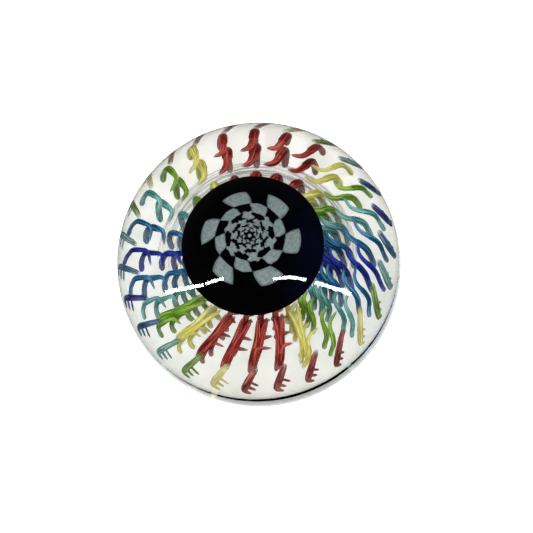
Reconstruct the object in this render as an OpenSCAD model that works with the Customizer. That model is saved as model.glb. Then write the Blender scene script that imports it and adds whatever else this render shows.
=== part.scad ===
// Art-glass dome paperweight: a solid clear ball of glass on a ground foot. Inside it float a black
// cushion with a white spiral of lozenges and 26 columns of coloured threads drawn into hooks.
// The origin is the centre of the ground base. +Z points up and +Y points away from the front.

/* [Glass body] */
// Diameter of the ball of glass
weight_d = 76; // [60:1:100]
// Height of the ball's widest circle above the table, as a share of its radius
waist_share = 0.37; // [0.30:0.01:0.50]
// Thickness of the ground base
base_t = 3; // [2:0.5:5]
// Bevel round the edge of the ground base
base_bevel = 0.8; // [0.4:0.1:1.5]
// Radius of the gather that holds the outer claws, as a share of the ball's radius
claw_gather_share = 0.86; // [0.84:0.01:0.88]
// Radius of the inner gathers, as a share of the ball's radius
heart_share = 0.72; // [0.715:0.005:0.73]

/* [Black cushion] */
// Radius of the cushion's rim, as a share of the ball's radius
cushion_share = 0.387; // [0.34:0.001:0.40]
// Height of the cushion's rim above the waist, as a share of the ball's radius
rim_rise = 0.38; // [0.30:0.01:0.42]
// Height of the cushion's crown above the waist, as a share of the ball's radius
crown_rise = 0.64; // [0.58:0.01:0.68]
// Thickness of the edge under the cushion's rim
cushion_edge_t = 1.2; // [0.8:0.1:2]

/* [White spiral] */
// Number of lozenges in each ring
lozenges = 6; // [5:1:8]
// Number of lozenge rings round the centre button
lozenge_rings = 7; // [4:1:7]
// Radius of the outermost lozenge ring, as a share of the cushion's radius
spiral_share = 0.72; // [0.60:0.01:0.78]
// Size of each ring against the ring outside it
ring_ratio = 0.715; // [0.70:0.005:0.75]
// Depth of the white inlay
inlay_t = 0.5; // [0.3:0.1:0.8]

/* [Threads] */
// Number of thread columns round the weight, a whole number of colour runs
columns = 26; // [26:26:26]
// Radius of the round thread
thread_r = 0.5; // [0.3:0.05:0.55]
// Turn from the top of a hook's bend back to the end of its tail, in degrees
tail_turn = 8.5; // [6:0.5:9]
// Fall from a hook's bend to its foot, as a share of the ball's radius
leg_drop = 0.28; // [0.20:0.01:0.30]
// Turn from the threads' columns to the outer claws, in degrees
claw_turn = 22; // [20:0.5:24]

/* [Hidden] */
$fn = 96;
ball_r = weight_d / 2;
waist_z = ball_r * waist_share;
base_r = sqrt(pow(ball_r, 2) - pow(waist_z, 2));
heart_r = ball_r * heart_share;
claw_gather_r = ball_r * claw_gather_share;
cushion_r = ball_r * cushion_share;
rim_z = waist_z + ball_r * rim_rise;
crown_h = ball_r * (crown_rise - rim_rise);
// Radius of the sphere whose cap is the cushion's crown
cap_r = (pow(cushion_r, 2) + pow(crown_h, 2)) / (2 * crown_h);
cap_z = rim_z + crown_h - cap_r;
under_cushion_z = rim_z - cushion_edge_t;
// Height of the flat joint between the gather with the threads and the one round the cushion
joint_z = waist_z + 0.28 * ball_r;
// Bend of each row of hooks, outermost first: shares of the ball's radius out from the axis
// and up from the waist
row_bend = [[0.66, 0.115], [0.56, 0.065], [0.455, 0.085], [0.405, 0.09], [0.355, 0.10]];
claw_bend = [0.79, 0.16];
// Colours of one run of 13 columns, as places in the colour list
run = [0, 0, 0, 0, 1, 2, 3, 4, 5, 4, 3, 2, 1];
colour_names = ["firebrick", "goldenrod", "olivedrab", "teal", "steelblue", "navy"];
// Direction of the first red column of a run
first_column = 64;
column_step = 360 / columns;
button_r = 0.8;
// Middle of a lozenge of the outermost ring, half its width and the lean of its sides, in degrees
first_lozenge = 50.4;
lozenge_half = 13.5;
lozenge_lean = 4.5;
// Turn from one ring of lozenges to the next ring inwards
ring_turn = 23.3;
big = 2 * weight_d;

// The ball of radius r about the middle of the waist
module ball(r) {
    translate([0, 0, waist_z]) sphere(r = r, $fn = 128);
}

// The part of the ball of radius r between two heights
module ball_slice(r, low, high) {
    intersection() {
        ball(r);
        translate([0, 0, low]) cylinder(h = high - low, r = ball_r);
    }
}

function unit(v) = v / norm(v);

// The point at a place [out, up] in shares of the ball's radius, turned round the axis
function spot(place, turn) = [
    ball_r * place[0] * cos(turn),
    ball_r * place[0] * sin(turn),
    waist_z + ball_r * place[1]
];

// Rotation that brings +Z onto the direction v
function aim(v) = [0, acos(v[2]), atan2(v[1], v[0])];

// Direction of v within the plane whose normal is n, as seen before +Z is brought onto n
function roll(v, n) = atan2(
    v[1] * cos(aim(n)[2]) - v[0] * sin(aim(n)[2]),
    (v[0] * cos(aim(n)[2]) + v[1] * sin(aim(n)[2])) * cos(aim(n)[1]) - v[2] * sin(aim(n)[1])
);

// Centre of the circle through a, b and c
function circle_centre(a, b, c) =
    let (p = b - a, q = c - a, n = cross(p, q))
    a + (cross(n, p) * (q * q) + cross(q, n) * (p * p)) / (2 * (n * n));

// One thread: a round arc from the tail through the bend to the foot
module thread(tail, bend, foot) {
    centre = circle_centre(tail, bend, foot);
    normal = unit(cross(bend - tail, foot - tail));
    start = roll(tail - centre, normal);
    sweep = roll(foot - centre, normal) - start;
    translate(centre)
        rotate(aim(normal))
            rotate([0, 0, start])
                rotate_extrude(angle = sweep < 0 ? sweep + 360 : sweep, $fn = 48)
                    translate([norm(tail - centre), 0]) circle(r = thread_r, $fn = 24);
}

// One hook of a column, its bend at a place [out, up]
module hook(place) {
    thread(
        spot([place[0] * 0.86, place[1] + 0.04], tail_turn),
        spot(place, 0),
        spot([place[0] * 0.90, place[1] - leg_drop], -1.5)
    );
}

// One claw, a shorter and flatter hook
module claw() {
    thread(
        spot([claw_bend[0] * 0.92, claw_bend[1] + 0.06], 6),
        spot(claw_bend, 0),
        spot([claw_bend[0] * 0.97, claw_bend[1] - 0.16], -1)
    );
}

// Its children once for every column of one colour
module at_columns(colour, turn) {
    for (c = [0 : columns - 1])
        if (run[c % len(run)] == colour)
            rotate([0, 0, first_column + turn + c * column_step])
                children();
}

module threads(colour) {
    at_columns(colour, 0)
        for (place = row_bend)
            hook(place);
}

module claws(colour) {
    at_columns(colour, claw_turn) claw();
}

// Outline of a lozenge of ring k, its sides leaning round the spiral and its ends following the ring
module lozenge_outline(k) {
    outer = cushion_r * spiral_share * pow(ring_ratio, k - 1);
    inner = outer * ring_ratio;
    polygon([
        for (s = [-1, 0, 1])
            outer * [cos(lozenge_lean + s * lozenge_half), sin(lozenge_lean + s * lozenge_half)],
        for (s = [1, 0, -1])
            inner * [cos(s * lozenge_half - lozenge_lean), sin(s * lozenge_half - lozenge_lean)],
    ]);
}

// Prisms through the lozenges of ring k
module lozenge_prisms(k) {
    for (i = [0 : lozenges - 1])
        rotate([0, 0, first_lozenge + i * 360 / lozenges + (k - 1) * ring_turn])
            translate([0, 0, under_cushion_z])
                linear_extrude(height = big)
                    lozenge_outline(k);
}

// The thin skin of the cushion's crown that holds the white inlay
module inlay_skin() {
    difference() {
        translate([0, 0, cap_z]) sphere(r = cap_r);
        translate([0, 0, cap_z]) sphere(r = cap_r - inlay_t);
        translate([0, 0, rim_z - big]) cylinder(h = big, r = ball_r);
    }
}

module lozenge_ring(k) {
    color("gainsboro")
        intersection() {
            inlay_skin();
            lozenge_prisms(k);
        }
}

// The cushion with nothing let into it yet
module cushion_blank() {
    intersection() {
        translate([0, 0, cap_z]) sphere(r = cap_r);
        translate([0, 0, rim_z]) cylinder(h = big, r = ball_r);
    }
    translate([0, 0, under_cushion_z]) cylinder(h = cushion_edge_t, r = cushion_r);
}

module black_cushion() {
    color([0.02, 0.02, 0.03])
        difference() {
            cushion_blank();
            for (k = [1 : lozenge_rings])
                intersection() {
                    inlay_skin();
                    lozenge_prisms(k);
                }
            centre_button();
        }
}

// The white button in the middle of the spiral
module centre_button() {
    color("gainsboro")
        intersection() {
            inlay_skin();
            translate([0, 0, rim_z]) cylinder(h = big, r = button_r);
        }
}

// The last gather: the smooth outside of the ball
module clear_casing() {
    color([0.85, 0.9, 0.92, 0.35])
        difference() {
            ball_slice(ball_r, base_t, big);
            ball(claw_gather_r);
        }
}

// The ground and polished foot, bevelled round its edge
module ground_base() {
    color([0.85, 0.9, 0.92, 0.5])
        difference() {
            intersection() {
                ball(ball_r);
                cylinder(h = base_t, r = ball_r);
            }
            rotate_extrude()
                polygon([
                    [base_r - base_bevel, 0],
                    [base_r + 2 * base_bevel, 0],
                    [base_r + 2 * base_bevel, 3 * base_bevel],
                ]);
        }
}

// The gather that holds the outer claws
module claw_gather() {
    color([0.85, 0.9, 0.92, 0.3])
        difference() {
            ball_slice(claw_gather_r, base_t, big);
            ball(heart_r);
            for (colour = [0 : len(colour_names) - 1])
                claws(colour);
        }
}

// The gather that holds the threads
module thread_gather() {
    color([0.85, 0.9, 0.92, 0.3])
        difference() {
            ball_slice(heart_r, base_t, joint_z);
            for (colour = [0 : len(colour_names) - 1])
                threads(colour);
        }
}

// The clear gather round the black cushion, above the threads
module crown_gather() {
    color([0.85, 0.9, 0.92, 0.3])
        difference() {
            ball_slice(heart_r, joint_z, big);
            cushion_blank();
        }
}

module coloured_threads(colour) {
    color(colour_names[colour]) threads(colour);
}

module coloured_claws(colour) {
    color(colour_names[colour]) claws(colour);
}

clear_casing();
ground_base();
claw_gather();
thread_gather();
crown_gather();
black_cushion();
centre_button();
lozenge_ring(1);  // lozenge_ring_1
lozenge_ring(2);  // lozenge_ring_2
lozenge_ring(3);  // lozenge_ring_3
lozenge_ring(4);  // lozenge_ring_4
lozenge_ring(5);  // lozenge_ring_5
lozenge_ring(6);  // lozenge_ring_6
lozenge_ring(7);  // lozenge_ring_7
coloured_threads(0);  // threads_red
coloured_threads(1);  // threads_yellow
coloured_threads(2);  // threads_green
coloured_threads(3);  // threads_teal
coloured_threads(4);  // threads_steel
coloured_threads(5);  // threads_blue
coloured_claws(0);  // claws_red
coloured_claws(1);  // claws_yellow
coloured_claws(2);  // claws_green
coloured_claws(3);  // claws_teal
coloured_claws(4);  // claws_steel
coloured_claws(5);  // claws_blue
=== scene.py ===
"""Art-glass dome paperweight: the visual model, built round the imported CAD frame.

A clear glass ball on a ground foot holds a black cushion with a white spiral and 26 columns of
coloured threads drawn into hooks. Lengths are in metres. Shares are parts of the ball's radius,
measured out from the axis and up from the ball's centre. Turns are degrees round the axis.
"""

import math
import random

import bpy
from mathutils import Matrix, Vector


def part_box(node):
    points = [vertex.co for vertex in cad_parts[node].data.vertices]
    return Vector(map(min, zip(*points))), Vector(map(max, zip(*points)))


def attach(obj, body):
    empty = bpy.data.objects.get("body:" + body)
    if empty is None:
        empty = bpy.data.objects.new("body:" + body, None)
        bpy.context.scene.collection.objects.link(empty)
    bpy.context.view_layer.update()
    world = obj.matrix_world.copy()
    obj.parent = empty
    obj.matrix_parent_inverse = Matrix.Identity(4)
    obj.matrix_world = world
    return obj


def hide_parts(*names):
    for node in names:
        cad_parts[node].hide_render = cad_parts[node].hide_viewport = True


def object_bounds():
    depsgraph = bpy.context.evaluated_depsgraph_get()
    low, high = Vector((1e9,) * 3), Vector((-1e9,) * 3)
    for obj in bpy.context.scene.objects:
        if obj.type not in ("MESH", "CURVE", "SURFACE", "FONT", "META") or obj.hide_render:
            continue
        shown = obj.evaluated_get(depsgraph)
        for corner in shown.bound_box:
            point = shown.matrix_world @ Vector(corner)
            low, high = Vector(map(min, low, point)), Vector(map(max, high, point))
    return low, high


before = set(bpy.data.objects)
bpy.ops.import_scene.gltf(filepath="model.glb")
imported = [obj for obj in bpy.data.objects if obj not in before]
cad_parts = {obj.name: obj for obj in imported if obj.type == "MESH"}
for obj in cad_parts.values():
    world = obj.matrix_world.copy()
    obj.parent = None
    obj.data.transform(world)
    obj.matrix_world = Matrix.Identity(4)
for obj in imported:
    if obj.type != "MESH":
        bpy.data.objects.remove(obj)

CAD_LOW, CAD_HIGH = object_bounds()
BALL = (CAD_HIGH.x - CAD_LOW.x) / 2
WAIST = CAD_HIGH.z - BALL
COLOURS = ("red", "yellow", "green", "teal", "steel", "blue")
# Colours of one run of 13 columns; two runs go round the weight
RUN = (0, 0, 0, 0, 1, 2, 3, 4, 5, 4, 3, 2, 1)
COLUMNS = 26
COLUMN_STEP = 360 / COLUMNS
FIRST_COLUMN = 64
CLAW_TURN = 22


def spot(out, turn, up):
    """The point at shares out and up, turned round the axis."""
    a = math.radians(turn)
    return Vector((BALL * out * math.cos(a), BALL * out * math.sin(a), WAIST + BALL * up))


def place(name, verts, faces, smooth=True):
    """A mesh object in the scene."""
    mesh = bpy.data.meshes.new(name)
    mesh.from_pydata([tuple(v) for v in verts], [], faces)
    mesh.update()
    mesh.polygons.foreach_set("use_smooth", [smooth] * len(mesh.polygons))
    obj = bpy.data.objects.new(name, mesh)
    bpy.context.scene.collection.objects.link(obj)
    return obj


def lathe(name, profile, sides=256):
    """A closed solid turned from a profile of (radius, height), from the bottom to the top."""
    verts, faces, rings = [], [], []
    for radius, height in profile:
        start = len(verts)
        count = 1 if radius < 1e-9 else sides
        for k in range(count):
            a = math.tau * k / sides
            verts.append((radius * math.cos(a), radius * math.sin(a), height))
        rings.append((start, count))
    for (low, n_low), (high, n_high) in zip(rings, rings[1:]):
        for k in range(sides):
            m = (k + 1) % sides
            if n_low == 1:
                faces.append((low, high + m, high + k))
            elif n_high == 1:
                faces.append((low + k, low + m, high))
            else:
                faces.append((low + k, low + m, high + m, high + k))
    return place(name, verts, faces)


# ---------------------------------------------------------------- materials


class Nodes:
    """A new material with short calls for adding and joining nodes."""

    def __init__(self, name):
        self.mat = bpy.data.materials.new(name)
        self.mat.use_nodes = True
        self.tree = self.mat.node_tree
        self.tree.nodes.clear()
        self.out = self.tree.nodes.new("ShaderNodeOutputMaterial")

    def add(self, kind, **sockets):
        """A node; values set its sockets and sockets join to them."""
        node = self.tree.nodes.new("ShaderNode" + kind)
        for key, value in sockets.items():
            key = key.replace("_", " ")
            if isinstance(value, bpy.types.NodeSocket):
                self.tree.links.new(value, node.inputs[key])
            else:
                node.inputs[key].default_value = value
        return node

    def attribute(self, name):
        """A node that reads a layer of the mesh."""
        node = self.add("Attribute")
        node.attribute_name = name
        return node

    def noise(self, vector, scale, detail=2.0, roughness=0.5):
        return self.add("TexNoise", Vector=vector, Scale=scale, Detail=detail, Roughness=roughness)

    def ramp(self, factor, *stops):
        """A colour ramp from (place, colour) stops."""
        node = self.add("ValToRGB", Fac=factor)
        band = node.color_ramp.elements
        while len(band) < len(stops):
            band.new(0.5)
        for element, (position, colour) in zip(band, stops):
            element.position = position
            element.color = (*colour, 1)
        return node.outputs["Color"]

    def math(self, operation, a, b):
        """The result of a sum on two values or sockets."""
        node = self.add("Math")
        node.operation = operation
        for socket, value in zip(node.inputs, (a, b)):
            if isinstance(value, bpy.types.NodeSocket):
                self.tree.links.new(value, socket)
            else:
                socket.default_value = value
        return node.outputs[0]

    def mix(self, factor, a, b):
        """Colour a, turning to colour b as the factor grows."""
        node = self.add("Mix")
        node.data_type = "RGBA"
        for socket, value in ((node.inputs[0], factor), (node.inputs[6], a), (node.inputs[7], b)):
            if isinstance(value, bpy.types.NodeSocket):
                self.tree.links.new(value, socket)
            else:
                socket.default_value = value if socket is node.inputs[0] else (*value, 1)
        return node.outputs[2]

    def finish(self, shader):
        """The material, with this shader on its surface."""
        self.tree.links.new(shader.outputs[0], self.out.inputs["Surface"])
        return self.mat


def clear_glass():
    """Clear glass with slight waves in its surface and a faint, uneven tint."""
    n = Nodes("clear_glass")
    where = n.add("TexCoord").outputs["Object"]
    waves = n.noise(where, 60, 1.0)
    bump = n.add("Bump", Height=waves.outputs["Fac"], Strength=0.012, Distance=0.001)
    haze = n.noise(where, 130, 4.0, 0.65).outputs["Fac"]
    tint = n.ramp(haze, (0.34, (0.935, 0.95, 0.92)), (0.54, (1.0, 1.0, 0.985)))
    glass = n.add("BsdfGlass", Color=tint, Normal=bump.outputs["Normal"], Roughness=0.0, IOR=1.5)
    return n.finish(glass)


def black_glass():
    """Opaque black glass, with a faint navy sheen painted into its colour towards +X."""
    n = Nodes("black_glass")
    where = n.add("TexCoord").outputs["Object"]
    cloud = n.noise(where, 120, 3.0).outputs["Fac"]
    # Painted sheen: the colour turns navy towards +X, broken up by a cloud.
    side = n.math("MULTIPLY", n.add("SeparateXYZ", Vector=where).outputs["X"], 70.0)
    painted_gleam = n.math("MULTIPLY", side, cloud)
    tone = n.ramp(painted_gleam, (0.22, (0.0003, 0.0003, 0.0004)), (0.5, (0.0008, 0.0014, 0.008)))
    shader = n.add("BsdfPrincipled", Base_Color=tone, Roughness=0.6)
    shader.inputs["Specular IOR Level"].default_value = 0.005
    return n.finish(shader)


def white_glass():
    """Sheer milky glass over the black, thinner and greener at its edges."""
    n = Nodes("white_glass")
    where = n.add("TexCoord").outputs["Object"]
    edge = n.attribute("edge").outputs["Fac"]
    fine = n.noise(where, 1500, 4.0, 0.7).outputs["Fac"]
    cloud = n.noise(where, 260, 2.0).outputs["Fac"]
    body = n.ramp(fine, (0.3, (0.085, 0.125, 0.135)), (0.7, (0.27, 0.315, 0.325)))
    body = n.mix(n.math("MULTIPLY", cloud, 0.5), body, (0.13, 0.17, 0.165))
    tone = n.mix(n.ramp(edge, (0.0, (0.25,) * 3), (0.22, (1, 1, 1))), (0.03, 0.055, 0.06), body)
    shader = n.add("BsdfPrincipled", Base_Color=tone, Roughness=0.5)
    shader.inputs["Specular IOR Level"].default_value = 0.1
    return n.finish(shader)


def thread_glass(name, dark, body, pale, fade):
    """Drawn coloured glass: streaked along the thread, darkest at the bend, with painted light making
    its upper side paler, and sheer at the tail.
    """
    n = Nodes(name)
    lane = n.attribute("lane").outputs["Fac"]
    along = n.attribute("along").outputs["Fac"]
    grain = n.attribute("grain").outputs["Vector"]
    streak = n.noise(grain, 1.0, 3.0, 0.65).outputs["Fac"]
    sheer = n.attribute("sheer").outputs["Fac"]
    patch = n.noise(n.add("TexCoord").outputs["Object"], 420, 2.0).outputs["Fac"]
    heavy = n.ramp(along, (0.20, (0, 0, 0)), (0.42, (1, 1, 1)), (0.62, (1, 1, 1)), (0.85, (0.25,) * 3))
    streak = n.math("SUBTRACT", n.math("MULTIPLY", streak, 2.6), 0.66)
    # Painted light: the side of the thread that faces up is made paler, the underside darker.
    tone = n.math("ADD", n.math("MULTIPLY", lane, 0.16), streak)
    tone = n.math("SUBTRACT", tone, n.math("MULTIPLY", heavy, 0.16))
    colour = n.ramp(tone, (0.45, dark), (0.80, body), (0.98, pale))
    colour = n.mix(n.math("MULTIPLY", patch, 0.3), colour, dark)
    clear = n.ramp(along, (0.0, (0.1,) * 3), (0.05, (fade,) * 3), (0.20, (1, 1, 1)))
    clear = n.math("MULTIPLY", clear, sheer)
    shader = n.add("BsdfPrincipled", Base_Color=colour, Alpha=clear, Roughness=0.4)
    shader.inputs["Specular IOR Level"].default_value = 0.08
    return n.finish(shader)


# ---------------------------------------------------------------- glass body

BASE_BEVEL = 0.0008
FOOT = math.sqrt(BALL**2 - WAIST**2)


def body_profile():
    """Foot, small round bevel, then the ball up to its pole."""
    flat = FOOT - BASE_BEVEL
    flat_steps, bevel_steps, ball_steps = 12, 8, 120
    rows = [(flat * k / flat_steps, CAD_LOW.z) for k in range(flat_steps)]
    begin = math.atan2(-WAIST, FOOT) + BASE_BEVEL / BALL
    first = (flat, CAD_LOW.z)
    middle = (FOOT, CAD_LOW.z)
    last = (BALL * math.cos(begin), WAIST + BALL * math.sin(begin))
    for k in range(bevel_steps + 1):
        t = k / bevel_steps
        weights = ((1 - t) ** 2, 2 * t * (1 - t), t * t)
        corners = (first, middle, last)
        rows.append(tuple(sum(w * c[i] for w, c in zip(weights, corners)) for i in (0, 1)))
    for k in range(1, ball_steps):
        a = begin + (math.pi / 2 - begin) * k / ball_steps
        rows.append((BALL * math.cos(a), WAIST + BALL * math.sin(a)))
    rows.append((0, CAD_HIGH.z))
    return rows


glass_body = lathe("glass_body", body_profile())
glass_body.data.materials.append(clear_glass())
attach(glass_body, "root")
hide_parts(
    "clear_casing", "ground_base", "claw_gather", "thread_gather", "crown_gather"
)

# ---------------------------------------------------------------- black cushion

RIM_LOW, RIM_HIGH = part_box("black_cushion")
RIM = (RIM_HIGH.x - RIM_LOW.x) / 2
EDGE_T = 0.0012
RIM_Z = RIM_LOW.z + EDGE_T
CROWN = RIM_HIGH.z - RIM_Z
CAP = (RIM**2 + CROWN**2) / (2 * CROWN)


def crown_height(radius):
    """Height of the cushion's crown at a distance from the axis."""
    return RIM_Z + CROWN - CAP + math.sqrt(CAP**2 - radius**2)


def cushion_profile():
    """Flat underneath, a rounded rim, and the crown."""
    flat_steps, rim_steps, crown_steps = 8, 6, 60
    rows = [(RIM * k / flat_steps, RIM_LOW.z) for k in range(flat_steps)]
    half = EDGE_T / 2
    for k in range(rim_steps + 1):
        a = math.pi / 2 * (k / rim_steps - 1)
        rows.append((RIM - half * (1 - math.cos(a)), RIM_LOW.z + half * (1 + math.sin(a))))
    for k in range(1, crown_steps):
        r = RIM * (1 - (k / crown_steps) ** 1.15)
        rows.append((r, crown_height(r)))
    rows.append((0, crown_height(0)))
    return rows


cushion = lathe("cushion_black", cushion_profile(), 192)
cushion.data.materials.append(black_glass())
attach(cushion, "root")
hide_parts("black_cushion")

# ---------------------------------------------------------------- white spiral

LOZENGES = 6
RINGS = 7
SPIRAL_OUT = 0.280 * BALL
RING_RATIO = 0.715
FIRST_LOZENGE = 50.4
RING_TURN = 23.3
HALF_TURN = 16.5
LEAN = 4.5
# How far the lozenges crowd towards one side of a ring, and where they crowd
CROWDING, CROWDED_SIDE = 4.2, 330
CORNER_PULL = 0.10
# How torn the edges of each ring's lozenges are
RAGGED = (0, 0.15, 0.9, 1.1, 1.2, 1.2, 1.2)
PROUD = 0.00004
SUNK = 0.0003
milky = white_glass()


def lozenge(u, v, ring, middle):
    """The point of a lozenge at u across and v out, both from -1 to 1, with its corners rounded off."""
    reach = math.hypot(u, v)
    square = max(abs(u), abs(v))
    if reach > 1e-9:
        pull = 1 - CORNER_PULL * (reach / square - 1) / (math.sqrt(2) - 1) * square
        u, v = u * pull, v * pull
    outer = SPIRAL_OUT * RING_RATIO ** (ring - 1)
    ragged = RAGGED[ring - 1]
    notch = 0.10 * ragged * math.cos(6 * u + middle)
    radius = outer * RING_RATIO ** (0.5 - (0.54 + 0.12 * ragged) * v + notch)
    turn = middle + HALF_TURN * u * (1 - 0.16 * ragged) + LEAN * v
    turn += 4.5 * ragged * math.sin(5 * v + middle + u)
    a = math.radians(turn)
    return radius * math.cos(a), radius * math.sin(a), radius


def lozenge_ring(ring):
    """One ring of lozenges as thin closed slabs let into the crown."""
    verts, faces, edge = [], [], []
    cells = 16
    for i in range(LOZENGES):
        even = FIRST_LOZENGE + i * 360 / LOZENGES + (ring - 1) * RING_TURN
        middle = even + CROWDING * math.cos(math.radians(even - CROWDED_SIDE))
        start = len(verts)
        for layer in (PROUD, -SUNK):
            for j in range(cells + 1):
                for k in range(cells + 1):
                    u, v = 2 * k / cells - 1, 2 * j / cells - 1
                    x, y, r = lozenge(u, v, ring, middle)
                    inner = 1 - max(abs(u), abs(v))
                    lift = layer if layer < 0 else layer * min(1, inner * 4)
                    verts.append((x, y, crown_height(r) + lift))
                    edge.append(inner)
        row = cells + 1
        under = start + row * row
        for j in range(cells):
            for k in range(cells):
                a = start + j * row + k
                faces.append((a, a + row, a + row + 1, a + 1))
                b = under + j * row + k
                faces.append((b, b + 1, b + row + 1, b + row))
        rim = (
            [(0, k) for k in range(cells)]
            + [(j, cells) for j in range(cells)]
            + [(cells, k) for k in range(cells, 0, -1)]
            + [(j, 0) for j in range(cells, 0, -1)]
        )
        for (j, k), (j2, k2) in zip(rim, rim[1:] + rim[:1]):
            a, b = j * row + k, j2 * row + k2
            faces.append((start + a, start + b, under + b, under + a))
    obj = place(f"lozenge_ring_{ring}_white", verts, faces)
    layer = obj.data.attributes.new("edge", "FLOAT", "POINT")
    layer.data.foreach_set("value", edge)
    obj.data.materials.append(milky)
    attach(obj, "root")
    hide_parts(f"lozenge_ring_{ring}")


for ring in range(1, RINGS + 1):
    lozenge_ring(ring)

BUTTON = 0.0004
BUTTON_STEPS = 5
button_rows = [(0, crown_height(0) - SUNK), (BUTTON, crown_height(0) - SUNK)]
for k in range(BUTTON_STEPS):
    r = BUTTON * (1 - k / BUTTON_STEPS)
    button_rows.append((r, crown_height(r) + PROUD))
button_rows.append((0, crown_height(0) + PROUD))
button = lathe("button_white", button_rows, 32)
button.data.attributes.new("edge", "FLOAT", "POINT").data.foreach_set(
    "value", [0.6] * len(button.data.vertices)
)
button.data.materials.append(milky)
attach(button, "root")
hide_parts("centre_button")

# ---------------------------------------------------------------- seam in the clear glass


def seam_glass():
    """A faint grey film with fine rings in it, clearer in some places than in others."""
    n = Nodes("seam_glass")
    ring = n.attribute("ring").outputs["Vector"]
    fine = n.noise(ring, 1.0, 3.0, 0.6).outputs["Fac"]
    film = n.ramp(fine, (0.38, (0.12,) * 3), (0.55, (0.35,) * 3), (0.72, (0.70,) * 3))
    film = n.math("MULTIPLY", film, n.attribute("sheer").outputs["Fac"])
    tint = n.ramp(fine, (0.4, (0.55, 0.57, 0.56)), (0.7, (0.34, 0.355, 0.35)))
    shader = n.add("BsdfPrincipled", Base_Color=tint, Roughness=0.4, Alpha=film)
    shader.inputs["Specular IOR Level"].default_value = 0.1
    return n.finish(shader)


SEAM_IN, SEAM_OUT, SEAM_UP = 0.37, 0.485, 0.02
SEAM_SLOPE = 0.25
SEAM_T = 0.0001
SEAM_TURNS, SEAM_BANDS = 192, 10


def seam_ring():
    """A thin closed ring that slopes down outward, and fades out on the near side."""
    verts, faces, ring_place, sheer = [], [], [], []
    for side in (1, -1):
        for j in range(SEAM_BANDS + 1):
            out = SEAM_IN + (SEAM_OUT - SEAM_IN) * j / SEAM_BANDS
            for k in range(SEAM_TURNS):
                turn = 360 * k / SEAM_TURNS
                point = spot(out, turn, SEAM_UP + SEAM_SLOPE * (SEAM_OUT - out))
                point.z += side * SEAM_T / 2
                verts.append(point)
                a = math.radians(turn)
                ring_place.append((1.6 * math.cos(a), 1.6 * math.sin(a), 90 * out))
                sheer.append(max(0.0, min(1.0, 0.5 + 0.9 * math.sin(a + math.radians(10)))))
    under = (SEAM_BANDS + 1) * SEAM_TURNS
    for j in range(SEAM_BANDS):
        for k in range(SEAM_TURNS):
            a, b = j * SEAM_TURNS + k, j * SEAM_TURNS + (k + 1) % SEAM_TURNS
            c, d = b + SEAM_TURNS, a + SEAM_TURNS
            faces.append((a, d, c, b))
            faces.append((under + a, under + b, under + c, under + d))
    for j, flip in ((0, False), (SEAM_BANDS, True)):
        for k in range(SEAM_TURNS):
            a, b = j * SEAM_TURNS + k, j * SEAM_TURNS + (k + 1) % SEAM_TURNS
            quad = (a, b, under + b, under + a)
            faces.append(quad[::-1] if flip else quad)
    seam = place("seam_ring", verts, faces)
    seam.data.attributes.new("ring", "FLOAT_VECTOR", "POINT").data.foreach_set(
        "vector", [x for p in ring_place for x in p]
    )
    seam.data.attributes.new("sheer", "FLOAT", "POINT").data.foreach_set("value", sheer)
    seam.data.materials.append(seam_glass())
    return seam


seam = seam_ring()
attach(seam, "root")

# ---------------------------------------------------------------- threads

THREAD = 0.0005
SIDES = 10


class Bundle:
    """Many tubes gathered into one mesh, with what their material reads."""

    def __init__(self):
        self.verts, self.faces = [], []
        self.lane, self.along, self.sheer, self.grain = [], [], [], []

    def tube(self, path, widths, seed, sheer=1.0):
        """A closed tube through a path, from the tail to the foot; its seed picks its streaks."""
        start = len(self.verts)
        side = None
        count = len(path)
        shares = [i / (count - 1) for i in range(count)]
        for i, point in enumerate(path):
            ahead = (path[min(i + 1, count - 1)] - path[max(i - 1, 0)]).normalized()
            if side is None:
                side = ahead.cross(Vector((0, 0, 1))).normalized()
            side = (side - ahead * side.dot(ahead)).normalized()
            over = side.cross(ahead)
            for k in range(SIDES):
                a = math.tau * k / SIDES
                out = side * math.cos(a) + over * math.sin(a)
                self.verts.append(point + out * widths[i])
                # Painted light: how far this side of the tube faces up, which the material turns into a
                # paler colour.
                self.lane.append(0.5 + 0.5 * out.z)
                self.along.append(shares[i])
                self.sheer.append(sheer)
                round_about = (4.5 * math.cos(a) + seed, 4.5 * math.sin(a))
                self.grain.append((*round_about, 3.0 * shares[i] + seed))
        for i in range(count - 1):
            for k in range(SIDES):
                m = (k + 1) % SIDES
                a, b = start + i * SIDES, start + (i + 1) * SIDES
                self.faces.append((a + k, a + m, b + m, b + k))
        self.faces.append(tuple(start + k for k in reversed(range(SIDES))))
        last = start + (count - 1) * SIDES
        self.faces.append(tuple(last + k for k in range(SIDES)))

    def build(self, name, material):
        """The tubes as one object."""
        obj = place(name, self.verts, self.faces)
        for title, kind, values in (
            ("lane", "FLOAT", self.lane),
            ("along", "FLOAT", self.along),
            ("sheer", "FLOAT", self.sheer),
        ):
            obj.data.attributes.new(title, kind, "POINT").data.foreach_set("value", values)
        grain = obj.data.attributes.new("grain", "FLOAT_VECTOR", "POINT")
        grain.data.foreach_set("vector", [x for g in self.grain for x in g])
        obj.data.materials.append(material)
        return obj


def rounded(corners, turn, share, steps=7):
    """Points along a thread through corners (out, up, turn), each inner corner rounded off."""

    def between(a, b, t):
        return tuple(p + (q - p) * t for p, q in zip(a, b))

    rows = []
    here = corners[0]
    for before, corner, after in zip(corners, corners[1:], corners[2:]):
        enter, leave = between(corner, before, share), between(corner, after, share)
        rows += [between(here, enter, k / steps) for k in range(steps)]
        for k in range(steps):
            t = k / steps
            rows.append(between(between(enter, corner, t), between(corner, leave, t), t))
        here = leave
    rows += [between(here, corners[-1], k / steps) for k in range(steps + 1)]
    return [spot(out, turn + extra, up) for out, up, extra in rows]


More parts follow.
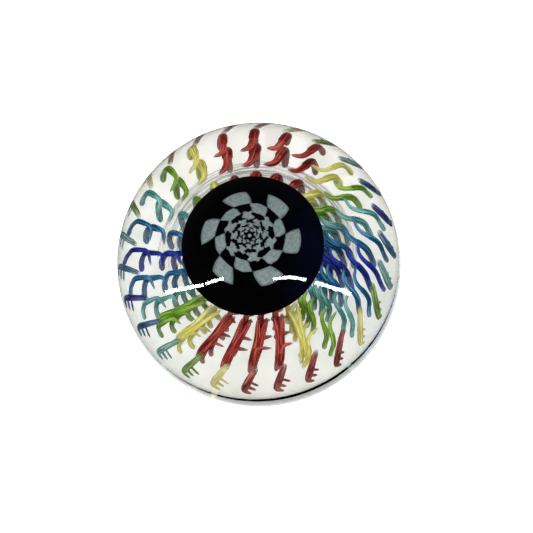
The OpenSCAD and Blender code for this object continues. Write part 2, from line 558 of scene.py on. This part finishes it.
def taper(count, tail, bend, foot):
    """Widths along a thread: a thin tail, a full bend and a blunt foot, both ends rounded."""
    widths = []
    for i in range(count):
        t = i / (count - 1)
        w = tail + (bend - tail) * min(1, t / 0.4)
        if t > 0.6:
            w += (foot - bend) * (t - 0.6) / 0.4
        end = min(t * 8, (1 - t) * 12, 1)
        widths.append(w * math.sqrt(max(0.05, 1 - (1 - end) ** 2)))
    return widths


def around(turn, values):
    """A value that changes smoothly round the weight, from values at equal steps from +X."""
    place_in = (turn % 360) / 360 * len(values)
    k = int(place_in) % len(values)
    t = (1 - math.cos(math.pi * (place_in - int(place_in)))) / 2
    return values[k] * (1 - t) + values[(k + 1) % len(values)] * t


# Rows of hooks: how far out and how far up their bends are
ROWS = ((0.66, 0.115), (0.56, 0.065), (0.455, 0.085), (0.405, 0.09), (0.355, 0.10))
# How the hand-made hooks differ round the weight, every 45 degrees from +X: shares of the ball's
# radius, degrees of turn, and for the thicknesses parts of THREAD
FOOT_OUT = (0, 0, -0.035, -0.01, 0.02, -0.01, -0.02, -0.02)
FOOT_TURN = (-2.5, 1, 4, 4, 2.5, 0, -3, -2.5)
KNEE_TURN = (-2.5, -1, 0, 0, 0, 0, 0, -2)
TAIL_TURN = (12.5, 10, 8.5, 9, 9, 9, 9.5, 11.5)
TAIL_UP = (0.12, 0.06, 0.03, 0.03, 0.03, 0.03, -0.02, 0.06)
NECK_TURN = (3.5, 2, 1.5, 1.5, 1.5, 1.5, 1.5, 2.5)
THICKNESS = (1.1, 1.2, 1.8, 1.15, 0.95, 0.95, 1.15, 1.05)
ROUNDING = (0.45, 0.45, 0.45, 0.42, 0.30, 0.38, 0.42, 0.45)
LEG = (0.28, 0.28, 0.28, 0.28, 0.28, 0.25, 0.19, 0.24)
# How strongly the columns gather into trunks, from not at all to fully
TRUNK = (0, 0, 0, 0, 0, 0.4, 1.0, 0.15)
# How far the rows nearest the cushion are drawn in under it
DRAWN_IN = (0, 0.015, 0.04, 0.02, 0, 0, 0, 0)
CLAW_TAIL = (7, 6, 6, 7, 8.5, 7, 5, 11)
CLAW_START = (0.72, 0.72, 0.70, 0.68, 0.66, 0.67, 0.70, 0.70)
CLAW_THICKNESS = (2.2, 2.2, 1.9, 1.8, 1.5, 1.5, 1.9, 1.8)
CLAW_SHEER = (0.9, 0.6, 0.28, 0.3, 0.75, 0.9, 1.0, 1.0)
# How the hooks beside a full trunk are moved: up, inward and round, and by how many degrees they
# slant for each share further out than SLANT_FROM
TRUNK_UP, TRUNK_IN, TRUNK_TURN, TRUNK_SLANT = 0.09, 0.035, 3.0, 20.0
SLANT_FROM = 0.37
# Trunks weaker than this aren't made
LEAST_TRUNK = 0.2
# How far a corner of a hook strays, in shares of the ball's radius
STRAY = 0.008
# Each tube starts its streaks at a place drawn from nought to this
STREAK_SEEDS = 50
dice = random.Random(7)
inner = {c: Bundle() for c in COLOURS}
outer = {c: Bundle() for c in COLOURS}


def hook(bundle, turn, out, up, trunk):
    """One hook: a thin tail, a bar running outward, and a leg with a knee in it."""
    wobble = [dice.uniform(-1, 1) for _ in range(6)]
    thick = THREAD * around(turn, THICKNESS)
    share = around(turn, ROUNDING)
    foot_turn = around(turn, FOOT_TURN)
    foot_out = out * 0.90 + around(turn, FOOT_OUT) + STRAY * wobble[5]
    leg = around(turn, LEG)
    tail_up = around(turn, TAIL_UP)
    knee = around(turn, KNEE_TURN)
    turn += trunk * (TRUNK_TURN - TRUNK_SLANT * (out - SLANT_FROM))
    tail_turn = around(turn, TAIL_TURN) + 1.2 * wobble[1]
    neck_turn = around(turn, NECK_TURN) + 0.6 * wobble[3]
    corners = (
        (out * 0.83 + STRAY * wobble[0], up + tail_up, tail_turn),
        (out * 0.85 + STRAY * wobble[2], up + 0.03 + 0.6 * tail_up, neck_turn),
        (out + STRAY * wobble[4], up + STRAY * wobble[5], 0.5 * knee + 0.4 * wobble[1]),
        ((out + foot_out) / 2 + 0.01, up - leg / 2, knee + (foot_turn - 1.5) / 2),
        (foot_out, up - leg, foot_turn - 1.5 + 0.8 * wobble[0]),
    )
    path = rounded(corners, turn, share)
    widths = taper(len(path), THREAD * 0.6, thick * (1.15 + 0.12 * wobble[2]), THREAD)
    bundle.tube(path, widths, dice.uniform(0, STREAK_SEEDS))


def trunk_strands(bundle, turn, trunk):
    """Two thick strands that run out from under the cushion, side by side, and end in a hook."""
    for side in (-1, 1):
        wobble = [dice.uniform(-1, 1) for _ in range(4)]
        corners = (
            (0.35, 0.22, 5.0 + 3.5 * side + wobble[0]),
            (0.47, 0.21, 1.2 + 1.0 * side),
            (0.615 + 0.01 * side, 0.20, -2.6 + 0.9 * side + 0.5 * wobble[1]),
            (0.585, 0.03 + 0.03 * side, -4.6 + 1.6 * side + 0.6 * wobble[2]),
        )
        path = rounded(corners, turn, 0.42)
        widths = taper(len(path), THREAD * 0.9, THREAD * (0.55 + 1.05 * trunk), THREAD * 0.95)
        bundle.tube(path, widths, dice.uniform(0, STREAK_SEEDS))


def claw(bundle, turn):
    """One claw: a long arm reaching outward, and three short toes at its end."""
    heavy = THREAD * around(turn, CLAW_THICKNESS)
    tail = around(turn, CLAW_TAIL)
    start = around(turn, CLAW_START)
    sheer = around(turn, CLAW_SHEER)
    for toe in range(3):
        wobble = [dice.uniform(-1, 1) for _ in range(4)]
        back = 0.45 * toe
        elbow = (start + 0.79) / 2
        tail_turn = tail * (1 - 0.35 * back) + 0.5 * wobble[0]
        corners = (
            (start + 0.01 * toe, 0.98 - start - 0.04 * back, tail_turn),
            (elbow, 0.97 - elbow, tail * 0.45),
            (0.80 - 0.02 * toe, 0.09 + 0.045 * toe, -1.6 + 1.3 * toe),
            (0.765 - 0.012 * toe, 0.04 * toe, 1.2 + 2.0 * toe + 0.4 * wobble[1]),
        )
        path = rounded(corners, turn, 0.40, 5)
        widths = taper(len(path), heavy * 0.7, heavy * (1 - 0.25 * toe), THREAD * 0.7)
        bundle.tube(path, widths, dice.uniform(0, STREAK_SEEDS), sheer)


for column in range(COLUMNS):
    colour = COLOURS[RUN[column % len(RUN)]]
    turn = FIRST_COLUMN + column * COLUMN_STEP
    trunk = around(turn, TRUNK)
    drawn_in = around(turn, DRAWN_IN)
    for out, up in ROWS:
        shift = -TRUNK_IN * trunk - (drawn_in if out < 0.5 else 0)
        hook(inner[colour], turn, out + shift, up + TRUNK_UP * trunk, trunk)
    if trunk > LEAST_TRUNK:
        trunk_strands(inner[colour], turn, trunk)
    claw(outer[colour], turn + CLAW_TURN)

# Dark, body and pale colours of each thread, the pale one reached by streaks and by the painted light
# on each thread's upper side; a muted thread is partly greyed
THREAD_TONES = {
    "red": ((0.055, 0.001, 0.004), (0.42, 0.03, 0.026), (0.76, 0.20, 0.14)),
    "yellow": ((0.44, 0.38, 0.03), (0.78, 0.76, 0.22), (0.92, 0.90, 0.50)),
    "green": ((0.035, 0.12, 0.004), (0.25, 0.45, 0.035), (0.54, 0.74, 0.22)),
    "teal": ((0.025, 0.14, 0.14), (0.15, 0.43, 0.42), (0.48, 0.80, 0.77)),
    "steel": ((0.0, 0.028, 0.10), (0.008, 0.15, 0.36), (0.20, 0.50, 0.74)),
    "blue": ((0.001, 0.003, 0.10), (0.008, 0.022, 0.33), (0.06, 0.13, 0.74)),
}
GREYED = 0.3
# How much shows of a tail's thin end
TAIL_SHOWS, CLAW_TAIL_SHOWS = 0.6, 0.35


def muted(colour):
    """The colour partly greyed."""
    level = sum(colour) / 3
    return tuple(c * (1 - GREYED) + level * GREYED for c in colour)


for colour in COLOURS:
    tones = THREAD_TONES[colour]
    glass = thread_glass(f"{colour}_thread", *tones, TAIL_SHOWS)
    threads = inner[colour].build(f"hooks_{colour}", glass)
    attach(threads, "root")
    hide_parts(f"threads_{colour}")
    tones = (muted(tone) for tone in tones)
    glass = thread_glass(f"muted_{colour}_thread", *tones, CLAW_TAIL_SHOWS)
    claws = outer[colour].build(f"toes_{colour}", glass)
    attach(claws, "root")
    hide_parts(f"claws_{colour}")

# ---------------------------------------------------------------- floor, lights and camera

SKY_GLOW, FLOOR_GLOW, LAMP_GLOW = 1.35, 0.55, 30.0
NEAR_FLOOR, FAR_FLOOR = 0.0455, 3.0
# Gaps under the foot, so that no two faces lie in one plane
NEAR_GAP, FAR_GAP = 3e-5, 8e-5


def floor_material():
    """White paper, slightly uneven, with a glow for the light that the glass would throw on it."""
    n = Nodes("floor_white")
    where = n.add("TexCoord").outputs["Object"]
    paper = n.ramp(n.noise(where, 30, 3.0).outputs["Fac"], (0.3, (0.86,) * 3), (0.7, (0.88,) * 3))
    shader = n.add("BsdfPrincipled", Base_Color=paper, Roughness=0.9)
    shader.inputs["Specular IOR Level"].default_value = 0.0
    shader.inputs["Emission Color"].default_value = (1, 1, 1, 1)
    shader.inputs["Emission Strength"].default_value = FLOOR_GLOW
    return n.finish(shader)


def floor_disc(name, radius, height):
    """A flat disc of the white floor."""
    sides = 96
    rim = [math.tau * k / sides for k in range(sides)]
    verts = [(radius * math.cos(a), radius * math.sin(a), height) for a in rim]
    disc = place(name, verts, [tuple(range(sides))], smooth=False)
    disc.data.materials.append(floor_white)
    return disc


# Only the floor close to the glass shows in its gloss, as if the studio beyond it were dark
floor_white = floor_material()
floor_disc("floor_near", NEAR_FLOOR, -NEAR_GAP)
floor_disc("floor_far", FAR_FLOOR, -FAR_GAP).visible_glossy = False

scene = bpy.context.scene
scene.view_settings.view_transform = "Standard"
world = bpy.data.worlds.new("studio")
world.use_nodes = True
world.node_tree.nodes["Background"].inputs["Color"].default_value = (1, 1, 1, 1)
world.node_tree.nodes["Background"].inputs["Strength"].default_value = SKY_GLOW
world.cycles_visibility.glossy = False
scene.world = world


def light_strip(name, *stops):
    """A strip of a lamp arch that stands over the weight, through (angle, offset) stops."""
    reach, half, steps = 1.17, 0.03, 6
    verts = []
    for (a, y), (b, z) in zip(stops, stops[1:]):
        for k in range(steps + 1):
            angle = math.radians(a + (b - a) * k / steps)
            offset = y + (z - y) * k / steps
            for shift in (-half, half):
                verts.append(
                    (reach * math.cos(angle), offset + shift, WAIST + reach * math.sin(angle))
                )
    faces = [(2 * k, 2 * k + 1, 2 * k + 3, 2 * k + 2) for k in range(len(verts) // 2 - 1)]
    strip = place(name, verts, faces, smooth=False)
    n = Nodes(name)
    strip.data.materials.append(n.finish(n.add("Emission", Strength=LAMP_GLOW)))
    strip.visible_camera = strip.visible_diffuse = strip.visible_transmission = False
    strip.visible_shadow = strip.visible_volume_scatter = False


light_strip("strip_left_low", (171, -0.40), (151, -0.50), (133, -0.555))
light_strip("strip_left_high", (131.5, -0.545), (114.5, -0.515))
light_strip("strip_right_high", (73, -0.56), (60, -0.49), (45, -0.485))
light_strip("strip_right_low", (37.5, -0.49), (20, -0.465), (0, -0.40))

key = bpy.data.lights.new("key", "AREA")
key.shape = "DISK"
key.size = 1.0
key.energy = 6.0
key_lamp = bpy.data.objects.new("key", key)
key_lamp.location = (-0.5, -0.7, 1.3)
key_lamp.rotation_mode = "QUATERNION"
key_lamp.rotation_quaternion = (-Vector(key_lamp.location)).to_track_quat("-Z", "Y")
key_lamp.visible_glossy = False
key_lamp.visible_camera = False
scene.collection.objects.link(key_lamp)

# The camera leans from overhead towards a direction, in degrees, and is rolled about its own axis
TILT, LEAN_TO, ROLL = 16, 288, 18
DISTANCE = 9.5 * BALL
LENS_MM = 90.8
SHIFT = (0.0139, -0.0032)
tilt, lean_to = math.radians(TILT), math.radians(LEAN_TO)
back = Vector(
    (math.sin(tilt) * math.cos(lean_to), math.sin(tilt) * math.sin(lean_to), math.cos(tilt))
)
away = Vector((-math.cos(lean_to), -math.sin(lean_to), 0))
up_0 = away * math.cos(tilt) + Vector((0, 0, math.sin(tilt)))
right_0 = up_0.cross(back)
roll = math.radians(ROLL)
up = up_0 * math.cos(roll) + right_0 * math.sin(roll)
right = right_0 * math.cos(roll) - up_0 * math.sin(roll)
camera_data = bpy.data.cameras.new("camera")
camera_data.lens = LENS_MM
camera_data.shift_x, camera_data.shift_y = SHIFT
camera_data.clip_start = 0.01
camera_data.clip_end = 20
camera = bpy.data.objects.new("camera", camera_data)
centre = Vector((0, 0, WAIST))
camera.matrix_world = Matrix(
    (
        (right.x, up.x, back.x, centre.x + back.x * DISTANCE),
        (right.y, up.y, back.y, centre.y + back.y * DISTANCE),
        (right.z, up.z, back.z, centre.z + back.z * DISTANCE),
        (0, 0, 0, 1),
    )
)
scene.collection.objects.link(camera)
scene.camera = camera
